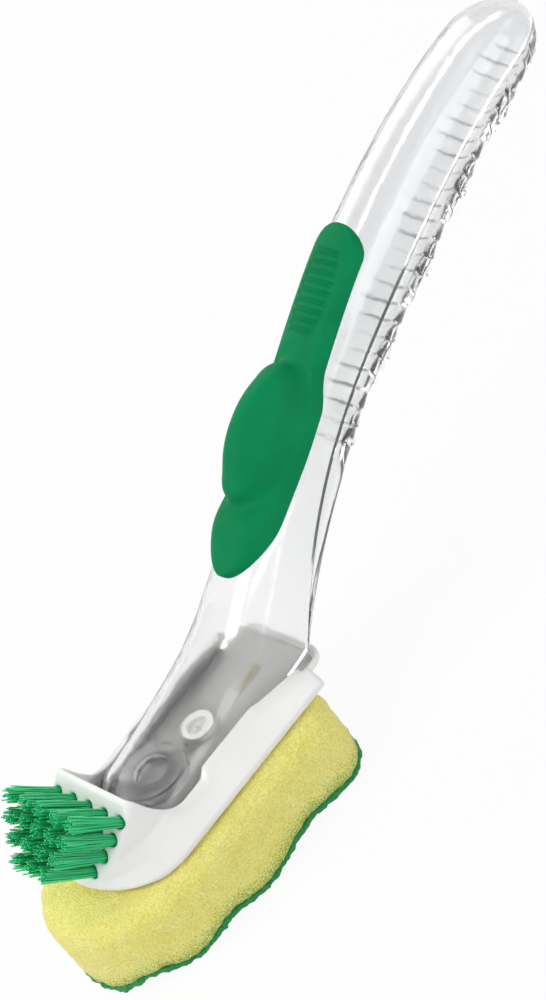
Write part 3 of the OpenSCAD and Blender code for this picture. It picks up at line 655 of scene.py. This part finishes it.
# ---------------------------------------------------------------- green pad and squeeze bulb, one soft skin
PAD_S, PAD_LEN, TONGUE_LEN, STRIP_ROUND = 13.0, 97.0, 18.4, 7.0
PAD_W, STRIP_W, PAD_T, PAD_LIFT = 20.4, 17.8, 1.8, 0.25
TONGUE_RISE, RISE_S, RISE_REACH = 3.6, 12.8, 9.0
RIDGES, RIDGE_PITCH, RIDGE_H = 9, 2.6, 1.0
BULB_S, BULB_LEN, BULB_W, BULB_H, BULB_T = 52.0, 39.0, 17.0, 11.8, 1.6
BULB_P, PAD_EDGE = 2.3, 1.5
SKIRT_AT, SKIRT_REACH, SKIRT_SHARE, SKIRT_END = 0.93, 0.13, 0.09, 1.35
GROOVE_AT, GROOVE_REACH, GROOVE_D = 1.12, 0.10, 0.35
PAD_END = PAD_S + PAD_LEN
STRIP_S = BULB_S + BULB_LEN / 2 + 2
STRIP_RUN = 12
RIDGE_START = PAD_END - STRIP_ROUND - 0.1 - RIDGES * RIDGE_PITCH


def pad_half(s):
    tongue = PAD_W / 2 * np.sqrt(clamp01(1 - clamp01(1 - (s - PAD_S) / TONGUE_LEN) ** 2))
    strip = mix(PAD_W, STRIP_W, ease((s - STRIP_S + STRIP_RUN) / STRIP_RUN)) / 2
    strip = strip * np.sqrt(1 - clamp01(1 - (PAD_END - s) / STRIP_ROUND) ** 2)
    return np.where(s < PAD_S + TONGUE_LEN, tongue, strip)


def pad_point(s, y, t):
    """The point t above the front skin whose distance from the middle plane is about y."""
    p = front_p(s)
    share = np.clip(y / (half_w(s) + t), -1, 1)
    side = np.arcsin(signed_pow(share, p / 2)) / (np.pi / 2)
    return front_point(s, side, -t)


def bulb_reach(s, y):
    """0 at the bulb's middle and 1 at its outline."""
    along, out = np.abs((s - BULB_S) / (BULB_LEN / 2)), np.abs(y / (BULB_W / 2))
    return (along ** BULB_P + out ** BULB_P) ** (1 / BULB_P)


def dome(s, y):
    """The squeeze bulb, which runs out softly into the pad round it."""
    r = bulb_reach(s, y)
    crown = clamp01(1 - r * r) ** 0.7
    skirt = np.exp(-((r - SKIRT_AT) / SKIRT_REACH) ** 2) * SKIRT_SHARE
    return BULB_H * np.maximum(crown, 0) + BULB_H * skirt * ease((SKIRT_END - r) / 0.3)


def ridge(s, y, half):
    """Narrow crests with hollows between them, within an oval on the strip."""
    u = (s - RIDGE_START) / RIDGE_PITCH
    f = u - np.floor(u)
    bar = np.exp(-((f - 0.5) / 0.17) ** 2)
    inside = (u >= 0) & (u <= RIDGES)
    oval = np.sqrt(clamp01(1 - ((u - RIDGES / 2) / (RIDGES / 2 + 0.8)) ** 2))
    reach = half * (0.30 + 0.42 * oval)
    shape = RIDGE_H * (0.55 * bar - 0.45 * (1 - bar))
    return np.where(inside, shape * ease((reach - np.abs(y)) / 1.1), 0.0)


turn = np.linspace(0, np.pi / 2, 15)[1:]
pad_rows = np.concatenate([
    PAD_S + TONGUE_LEN * (1 - np.cos(turn)),
    np.linspace(PAD_S + TONGUE_LEN, RIDGE_START - 0.5, 90)[1:],
    RIDGE_START + RIDGE_PITCH * np.arange(0, RIDGES + 0.01, 0.1),
    PAD_END - STRIP_ROUND * (1 - np.sin(np.radians([0, 15, 30, 45, 58, 70, 80])))])
pad_rows = np.unique(np.round(pad_rows, 4))
pad_columns = np.sin(np.pi / 2 * np.linspace(-1, 1, 61))


def pad_grids():
    s = pad_rows[:, None]
    half = np.maximum(pad_half(s), 0.35)
    y = pad_columns[None, :] * half
    edge = np.minimum(half - np.abs(y), np.minimum(s - PAD_S + 0.4, PAD_END - s + 0.4))
    rise = TONGUE_RISE * np.exp(-((s - PAD_S - RISE_S) / RISE_REACH) ** 2) * (1 - np.abs(y / half) ** 3)
    rim = (PAD_T + rise) * np.sqrt(clamp01(1 - clamp01(1 - edge / PAD_EDGE) ** 2))
    groove = GROOVE_D * np.exp(-((bulb_reach(s, y) - GROOVE_AT) / GROOVE_REACH) ** 2)
    top = PAD_LIFT + rim + dome(s, y) + ridge(s, y, half) - groove * ease(edge / PAD_EDGE)
    hollow = np.maximum(dome(s, y) - BULB_T, 0) * ease((0.97 - bulb_reach(s, y)) / 0.12)
    low = PAD_LIFT + hollow + 0 * y
    return pad_point(s, y, top), pad_point(s, y, low)


pad_top, pad_low = pad_grids()
pad = wall_between("grip_pad_and_bulb", pad_top, pad_low, sharp=70)
pad.data.materials.append(GREEN)
bulb_base = place(BULB_S, 0, half_d(BULB_S) + PAD_LIFT + PAD_T)
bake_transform(pad)
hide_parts("grip_pad", "pump_bulb")

# ---------------------------------------------------------------- white head
NOSE_X, NOSE_LEN, WALL_END = 34.0, 24.0, 49.0
HEAD_W, RIM_W, WALL_H, BEAD_H, COLLAR_H = 46.8, 33.2, 8.6, 2.2, 22.2
BRUSH_LEAN, BRUSH_X, BRUSH_H = 50.0, 17.5, 19.0
LIP_LEN, LIP_W, LIP_T, LIP_ROUND = 8.0, 31.0, 2.9, 5.0
CHANNEL_START, CHANNEL_W, CHANNEL_ROUND, CHANNEL_Z, CHANNEL_H = -13.6, 36.6, 9.3, 29.5, 2.8
ROOM_START, ROOM_W, ROOM_TOP_W, ROOM_ROUND = -13.3, 31.8, 30.0, 6.0
ROOM_END, FAR = 90.0, 90.0
SLOT_STARTS, SLOT_LEN, SLOT_W = (12, 35), 10, 4.2
HOLE_R, HOLE_DEPTH = 1.85, 4.0
# height over the sponge, half the width, and how far the nose is set back
HEAD_LEVELS = np.array([
    [0, 23.4, 0], [2.6, 23.1, 0], [6.5, mix(HEAD_W, RIM_W, 3.9 / 8.4) / 2, 1.5],
    [11, RIM_W / 2, 1.5 - 0.5 * 4.5], [24.2, RIM_W / 2 - 0.5, 1.5 - 0.5 * 17.7]])
LEAN_SIN, LEAN_COS = math.sin(math.radians(BRUSH_LEAN)), math.cos(math.radians(BRUSH_LEAN))
FACE_DIR = np.array([-LEAN_SIN, -LEAN_COS])
FACE_TOP = np.array([-BRUSH_X, SPONGE_T + BRUSH_H])
FACE_OUT = np.array([-LEAN_COS, LEAN_SIN])
CHIN_X, CHIN_RISE = -20, 0.25
FACE_LOW_Q = (BRUSH_H - CHIN_RISE * (BRUSH_X + CHIN_X)) / (LEAN_COS + CHIN_RISE * LEAN_SIN)
FACE_HIGH_Q = (BRUSH_H - COLLAR_H) / LEAN_COS
TUFT_ROWS = [5, 5, 4, 3]
TUFTS = [(r, c) for r, n in enumerate(TUFT_ROWS) for c in range(n)]


TUFT_PITCH, TUFT_MARGIN = 5.3, 3.3


def tuft_place(r, c):
    q = r * TUFT_PITCH
    half = RIM_W / 2 - TUFT_MARGIN - q / 5 - q * q / 60
    p = FACE_TOP + q * FACE_DIR
    return np.array([p[0], half * (2 * c / (TUFT_ROWS[r] - 1) - 1), p[1]])


def head_field(step):
    """The head's distance field on a grid, and the grid's lowest corner."""
    low = np.array([-37.0, -26.0, 22.5])
    high = np.array([60.0, 26.0, 49.5])
    count = np.ceil((high - low) / step).astype(int)
    X, Y, Z = (low[k] + step * np.arange(count[k]) for k in range(3))
    x3, y3, z3 = X[:, None, None], Y[None, :, None], Z[None, None, :]
    # outside: plan outlines that narrow upward
    w = np.interp(Z - SPONGE_T, HEAD_LEVELS[:, 0], HEAD_LEVELS[:, 1])[None, None, :]
    setback = np.interp(Z - SPONGE_T, HEAD_LEVELS[:, 0], HEAD_LEVELS[:, 2])[None, None, :]
    middle = NOSE_LEN - NOSE_X + setback
    u, v = np.minimum(x3 - middle, 0), y3
    k0 = np.sqrt((u / NOSE_LEN) ** 2 + (v / w) ** 2)
    k1 = np.sqrt((u / NOSE_LEN ** 2) ** 2 + (v / w ** 2) ** 2)
    plan = np.where(x3 < middle, k0 * (k0 - 1) / np.maximum(k1, 1e-6), np.abs(v) - w + 0 * x3)
    lean = np.interp(Z - SPONGE_T, [0, 2.6, 3.6, 10, 12], [1, 1, 0.8, 0.8, 1])[None, None, :]
    # outside: side view
    rim_z = SPONGE_T + WALL_H
    collar_back = FACE_TOP + FACE_HIGH_Q * FACE_DIR + np.array([1.4, 0])
    collar_line = [collar_back, collar_back + [3, 0], np.array([-8.5, rim_z]), np.array([0, rim_z])]
    collar = bezier(collar_line, np.linspace(0, 1, 25))
    side = np.array(
        [[WALL_END, SPONGE_T], [CHIN_X, SPONGE_T]]
        + [FACE_TOP + q * FACE_DIR for q in (FACE_LOW_Q, FACE_HIGH_Q)]
        + [list(p) for p in collar]
        + [[6.4, rim_z], [8.7, rim_z + BEAD_H], [30.3, rim_z + BEAD_H]]
        + [[32.6, rim_z + BEAD_H - 1], [WALL_END, SPONGE_T + 6.1]])
    gx, gz = np.meshgrid(X, Z, indexing="ij")
    profile = polygon_distance(gx, gz, side)[:, None, :]
    body = both(plan * lean, profile, 2.4)
    # heel lip
    gx2, gy2 = np.meshgrid(X, Y, indexing="ij")
    tab = box_distance(gx2, gy2, (WALL_END - 6, -LIP_W / 2), (WALL_END + LIP_LEN, LIP_W / 2), LIP_ROUND)
    tab = both(tab[:, :, None], np.abs(z3 - (SPONGE_T + LIP_T / 2)) - LIP_T / 2, 1.0)
    body = either(body, tab, 0.8)
    # channel for the sole plate
    channel = box_distance(
        gx2, gy2, (CHANNEL_START, -CHANNEL_W / 2), (ROOM_END, CHANNEL_W / 2), CHANNEL_ROUND)[:, :, None]
    channel = both(channel, np.abs(z3 - CHANNEL_Z) - CHANNEL_H / 2, 0.2)
    # room for the foot, with rails on both sides
    wide, narrow = ROOM_W / 2, ROOM_TOP_W / 2
    room_plan = box_distance(gx2, gy2, (ROOM_START, -wide), (ROOM_END, wide), ROOM_ROUND)[:, :, None]
    gy3, gz3 = np.meshgrid(Y, Z, indexing="ij")
    rails = polygon_distance(gy3, gz3, [
        [-wide, SOLE_Z], [wide, SOLE_Z], [wide, 33.4], [narrow, 36.0],
        [narrow, FAR], [-narrow, FAR], [-narrow, 36.0], [-wide, 33.4]])[None, :, :]
    wall_x = collar_back[0] + 0.5
    front_wall = polygon_distance(gx, gz, [
        [-FAR, 37.3], [ROOM_START, 37.3], [wall_x, 40.0], [wall_x, FAR], [-FAR, FAR]])[:, None, :]
    room = both(both(room_plan, rails, 0.3), -front_wall, 0.6)
    room = both(room, SEAT_Z - 0.5 - z3, 0.2)
    body = both(body, -either(channel, room, 0.3), 0.7)
    # soap slots
    for start in SLOT_STARTS:
        slot = box_distance(gx2, gy2, (start, -SLOT_W / 2), (start + SLOT_LEN, SLOT_W / 2), 0.8)[:, :, None]
        body = both(body, -both(slot, z3 - 30, 0.1), 0.3)
    # tuft holes
    out = np.array([FACE_OUT[0], 0, FACE_OUT[1]])
    for r, c in TUFTS:
        p = tuft_place(r, c)
        dx, dy, dz = x3 - p[0], y3 - p[1], z3 - p[2]
        along = dx * out[0] + dz * out[2]
        away = np.sqrt(np.maximum(dx * dx + dy * dy + dz * dz - along * along, 0))
        body = both(body, -both(away - HOLE_R, -HOLE_DEPTH - along, 0.2), 0.35)
    return body, low


head_step = 0.4
field, low = head_field(head_step)
points, faces = surface_nets(blurred(field, 0.32 / head_step), low, head_step)
head = mesh_object("head_tray_moulded", points, faces)
dress(head, WHITE, "head", "white_plastic", "head_tray")

# ---------------------------------------------------------------- bristles
BRISTLE_LEN, BRISTLE_D, TUFT_R = 17.0, 0.46, 1.7
STRANDS, ROOT_DEPTH, GOLDEN_ANGLE = 46, 2.6, 137.508


def tuft_mesh(k, strands, rng):
    r, c = TUFTS[k]
    p = tuft_place(r, c)
    out = np.array([FACE_OUT[0], 0, FACE_OUT[1]])
    down = np.array([FACE_DIR[0], 0, FACE_DIR[1]])
    wide = np.array([0, 1.0, 0])
    sides, rings = 5, 8
    spots, faces, tones_with_root_shade = [], [], []
    angle = np.arange(sides) * 2 * np.pi / sides
    for i in range(strands):
        reach = math.sqrt((i + 0.5) / strands)
        a = math.radians(GOLDEN_ANGLE * i + 40 * k)
        foot = (TUFT_R - BRISTLE_D / 2) * reach * np.array([math.cos(a), math.sin(a)])
        length = BRISTLE_LEN * (1 + rng.uniform(-0.05, 0.03)) - 0.4 * reach
        splay = 0.62 * reach + rng.uniform(-0.1, 0.1)
        tip = foot * (1 + splay) + rng.normal(0, 0.28, 2)
        bow = rng.normal(0, 0.35, 2)
        tone = rng.uniform(0, 1)
        base = len(spots)
        for j in range(rings):
            t = j / (rings - 1)
            at = mix(foot, tip, t ** 1.25) + bow * math.sin(math.pi * t) * 0.5
            along = -ROOT_DEPTH + (length + ROOT_DEPTH) * t
            radius = BRISTLE_D / 2 * (1 if j < rings - 1 else 0.75)
            mid = p + along * out + at[0] * down + at[1] * wide
            for b in angle:
                spots.append(mid + radius * (math.cos(b) * down + math.sin(b) * wide))
                # each strand's random tone, made lighter towards the tip: the darker roots are painted shade
                tones_with_root_shade.append(clamp01(0.15 + 0.5 * tone + 0.35 * t))
        for j in range(rings - 1):
            for b in range(sides):
                b2 = (b + 1) % sides
                q = base + j * sides
                faces.append((q + b, q + sides + b, q + sides + b2, q + b2))
        faces.append(tuple(base + b for b in range(sides)))
        faces.append(tuple(base + (rings - 1) * sides + b for b in reversed(range(sides))))
    piece = mesh_object(f"bristles_{k + 1:02d}", spots, faces, 50)
    outward(piece)
    tone_and_root_shade_layer = piece.data.attributes.new("tone", "FLOAT", "POINT")
    tone_and_root_shade_layer.data.foreach_set("value", np.array(tones_with_root_shade, np.float32))
    return piece


NYLON = bristle_nylon()
rng = np.random.default_rng(11)
for k in range(len(TUFTS)):
    tuft = tuft_mesh(k, STRANDS, rng)
    dress(tuft, NYLON, "head", "green_bristle", f"bristle_tuft_{k + 1:02d}")

# ---------------------------------------------------------------- sponge and scouring layer
SPONGE_LEN, SPONGE_W, SPONGE_NOSE, NOSE_P, HEEL_ROUND = 95.0, 56.6, 46.0, 2.2, 12.0
WAVE_LEN, WAVE_GROWTH, WAVE_DEPTH, WAVE_PEAK, CREST_CUT, SCOUR_T = 38.0, 1.36, 3.0, 1.0, 0.5, 2.0
SPONGE_INSET, FOAM_EDGE, FOAM_ROUGH, SCOUR_FRAY, SCOUR_ROUGH = 0.35, 7.0, 0.22, 0.30, 0.28
FOAM_STEP, SCOUR_STEP = 0.7, 0.55


def wave_z(x):
    """The height of the scrubbing face, whose waves get longer towards the heel."""
    turn = np.log(1 + (x - WAVE_PEAK) * (WAVE_GROWTH - 1) / WAVE_LEN) / math.log(WAVE_GROWTH)
    return WAVE_DEPTH * (1 - np.cos(2 * np.pi * turn)) / 2 - CREST_CUT


def sponge_plan(x, y, inset):
    """Signed distance to the sponge's outline, drawn in by inset."""
    half = SPONGE_W / 2 - inset
    nose = SPONGE_NOSE - inset
    middle = SPONGE_NOSE - SPONGE_LEN / 2
    u = np.minimum(x - middle, 0)
    gu, gv = np.abs(u / nose), np.abs(y / half)
    k0 = (gu ** NOSE_P + gv ** NOSE_P + 1e-9) ** (1 / NOSE_P)
    k1 = np.hypot(gu ** (NOSE_P - 1) / nose, gv ** (NOSE_P - 1) / half) / k0 ** (NOSE_P - 1)
    front_part = (k0 - 1) / np.maximum(k1, 1e-4)
    dx = np.maximum(x - (SPONGE_LEN / 2 - inset - HEEL_ROUND), 0)
    dy = np.maximum(np.abs(y) - (half - HEEL_ROUND), 0)
    heel_part = np.maximum(np.hypot(dx, dy) - HEEL_ROUND, np.abs(y) - half)
    return np.where(x < middle, front_part, heel_part)


def sponge_piece(name, step, layer, seed):
    low = np.array([-49.0, -30.5, -2.0])
    high = np.array([49.5, 30.5, 27.0])
    count = np.ceil((high - low) / step).astype(int)
    X, Y, Z = (low[k] + step * np.arange(count[k]) for k in range(3))
    x3, y3, z3 = X[:, None, None], Y[None, :, None], Z[None, None, :]
    plan = sponge_plan(x3 + 0 * z3, y3 + 0 * z3, SPONGE_INSET) + 0 * z3
    floor = wave_z(X)[:, None, None]
    rough = noise_field(plan.shape, 0.9, seed)
    if layer == "foam":
        field = both(plan, z3 - SPONGE_T, FOAM_EDGE)
        field = both(field, floor + SCOUR_T - z3, 0.5) + FOAM_ROUGH * rough
    else:
        broad = noise_field(plan.shape, 2.2, seed + 1)
        field = both(plan - 0.1 + SCOUR_FRAY * broad, z3 - floor - SCOUR_T + 0.05, 0.4)
        field = both(field, floor + 0.15 - z3, 0.6) + SCOUR_ROUGH * rough
        field = both(field, 0.02 - z3, 0.2)
    points, faces = surface_nets(field, low, step)
    piece = mesh_object(name, points, faces)
    if layer == "foam":
        gap = points[:, 2] - wave_z(points[:, 0]) - SCOUR_T
        layer_data = piece.data.attributes.new("scour_gap", "FLOAT", "POINT")
        layer_data.data.foreach_set("value", gap.astype(np.float32))
    return piece


sponge = sponge_piece("sponge_foam_block", FOAM_STEP, "foam", 5)
dress(sponge, foam(), "head", "sponge_foam", "sponge_block")
scour = sponge_piece("scour_layer", SCOUR_STEP, "scour", 21)
dress(scour, scour_web(), "head", "scour_fibre", "scour_pad")

# ---------------------------------------------------------------- materials of the CAD nodes that stay
nodes = frame["nodes"]
kept = {
    "sole_plate": CLEAR_FROSTED,
    "fill_cap": CLEAR_FROSTED,
    "cap_gasket": plain_detail("gasket_black", (0.012, 0.012, 0.012), (0.03, 0.03, 0.03), 0.6),
    "slit_valve": plain_detail("valve_silicone", (0.70, 0.70, 0.66), (0.78, 0.78, 0.74), 0.5),
    "valve_ring": WHITE,
    "tuft_anchors": plain_detail("staple_steel", (0.55, 0.55, 0.56), (0.68, 0.68, 0.69), 0.3, metallic=1.0),
}
for name, material in kept.items():
    nodes[name].data.materials.clear()
    nodes[name].data.materials.append(material)

# ---------------------------------------------------------------- camera at the photograph's place
RIGHT = np.array([0.604, -0.646, -0.466])
RIGHT /= np.linalg.norm(RIGHT)
UP = np.array([0.743, 0.246, 0.622])
UP -= RIGHT * (UP @ RIGHT)
UP /= np.linalg.norm(UP)
BACK = np.cross(RIGHT, UP)
AIM = np.array([72.0, 0.0, 50.0])
DISTANCE, PIXELS_PER_MM = 950.0, 3.7
SENSOR = 36.0
camera_data = bpy.data.cameras.new("camera")
camera = bpy.data.objects.new("camera", camera_data)
bpy.context.scene.collection.objects.link(camera)
eye = (AIM + DISTANCE * BACK) * MM
camera.matrix_world = Matrix([(RIGHT[k], UP[k], BACK[k], eye[k]) for k in range(3)] + [(0, 0, 0, 1)])
focal_px = PIXELS_PER_MM * DISTANCE
camera_data.sensor_width = SENSOR
camera_data.lens = focal_px * SENSOR / PHOTO_H
known, known_px = np.array([-43.7, 7.4, 25.0]), np.array([45.0, 915.0])
ray = known - (AIM + DISTANCE * BACK)
depth = -(ray @ BACK)
centre_px = known_px - focal_px * np.array([ray @ RIGHT, -(ray @ UP)]) / depth
camera_data.shift_x = (PHOTO_W / 2 - centre_px[0]) / PHOTO_H
camera_data.shift_y = (centre_px[1] - PHOTO_H / 2) / PHOTO_H
camera_data.clip_start, camera_data.clip_end = 0.01, 20
bpy.context.scene.camera = camera

# ---------------------------------------------------------------- floor, light and world
def rays_that_see_white(tree):
    path = node(tree, "ShaderNodeLightPath")
    seen = math_node(tree, "MAXIMUM", path.outputs["Is Camera Ray"], path.outputs["Is Glossy Ray"])
    return math_node(tree, "MAXIMUM", seen, path.outputs["Is Transmission Ray"])


FLOOR_HALF, FLOOR_Z = 2500, -0.6
floor_corners = [(FLOOR_HALF * x, FLOOR_HALF * y, FLOOR_Z) for x, y in ((-1, -1), (1, -1), (1, 1), (-1, 1))]
floor = mesh_object("floor", floor_corners, [(0, 1, 2, 3)])
floor_mat, tree, shader = new_material("floor_pale", Roughness=0.9, Specular_IOR_Level=0.0)
drift = noise(tree, place_of(tree), 3, 2.0)
paint(tree, shader, drift, [(0.3, (0.80, 0.80, 0.80)), (0.7, (0.82, 0.82, 0.82))])
glow = node(tree, "ShaderNodeEmission", {"Color": (1, 1, 1, 1), "Strength": 1.0})
share = math_node(tree, "MULTIPLY", rays_that_see_white(tree), 0.93)
blend_node = node(tree, "ShaderNodeMixShader", {
    0: share, 1: shader.outputs["BSDF"], 2: glow.outputs["Emission"]})
tree.links.new(blend_node.outputs["Shader"], tree.nodes["Material Output"].inputs["Surface"])
floor.data.materials.append(floor_mat)


def lamp(name, place_mm, target_mm, size, power):
    data = bpy.data.lights.new(name, "AREA")
    data.shape = "RECTANGLE"
    data.size, data.size_y = size
    data.energy = power
    o = bpy.data.objects.new(name, data)
    bpy.context.scene.collection.objects.link(o)
    at = np.array(place_mm, float)
    z = at - np.array(target_mm, float)
    z /= np.linalg.norm(z)
    x = np.cross([0, 0, 1.0], z)
    x /= np.linalg.norm(x)
    y = np.cross(z, x)
    o.matrix_world = Matrix([(x[k], y[k], z[k], at[k] * MM) for k in range(3)] + [(0, 0, 0, 1)])


lamp("key_left", (-520, 60, 640), (60, 0, 50), (0.5, 0.5), 4.2)
lamp("fill_right", (330, -680, 330), (80, 0, 50), (0.7, 0.5), 2.4)
lamp("rim_back", (300, 600, 500), (90, 0, 60), (0.6, 0.4), 1.8)

world = bpy.data.worlds.new("world")
bpy.context.scene.world = world
world.use_nodes = True
wt = world.node_tree
background = wt.nodes["Background"]
geometry = node(wt, "ShaderNodeTexCoord")
split = node(wt, "ShaderNodeSeparateXYZ", {"Vector": geometry.outputs["Generated"]})
sky = ramp(wt, remap(wt, split.outputs["Z"], -0.2, 1.0), [
    (0.0, (0.55, 0.55, 0.56)), (0.35, (0.42, 0.42, 0.43)), (1.0, (0.75, 0.75, 0.75))])
wt.links.new(sky, background.inputs["Color"])
background.inputs["Strength"].default_value = 0.66
backdrop = node(wt, "ShaderNodeBackground", {"Color": (1, 1, 1, 1), "Strength": 1.0})
both_skies = node(wt, "ShaderNodeMixShader", {
    0: rays_that_see_white(wt), 1: background.outputs["Background"], 2: backdrop.outputs["Background"]})
wt.links.new(both_skies.outputs["Shader"], wt.nodes["World Output"].inputs["Surface"])

bpy.context.scene.view_settings.view_transform = "Standard"
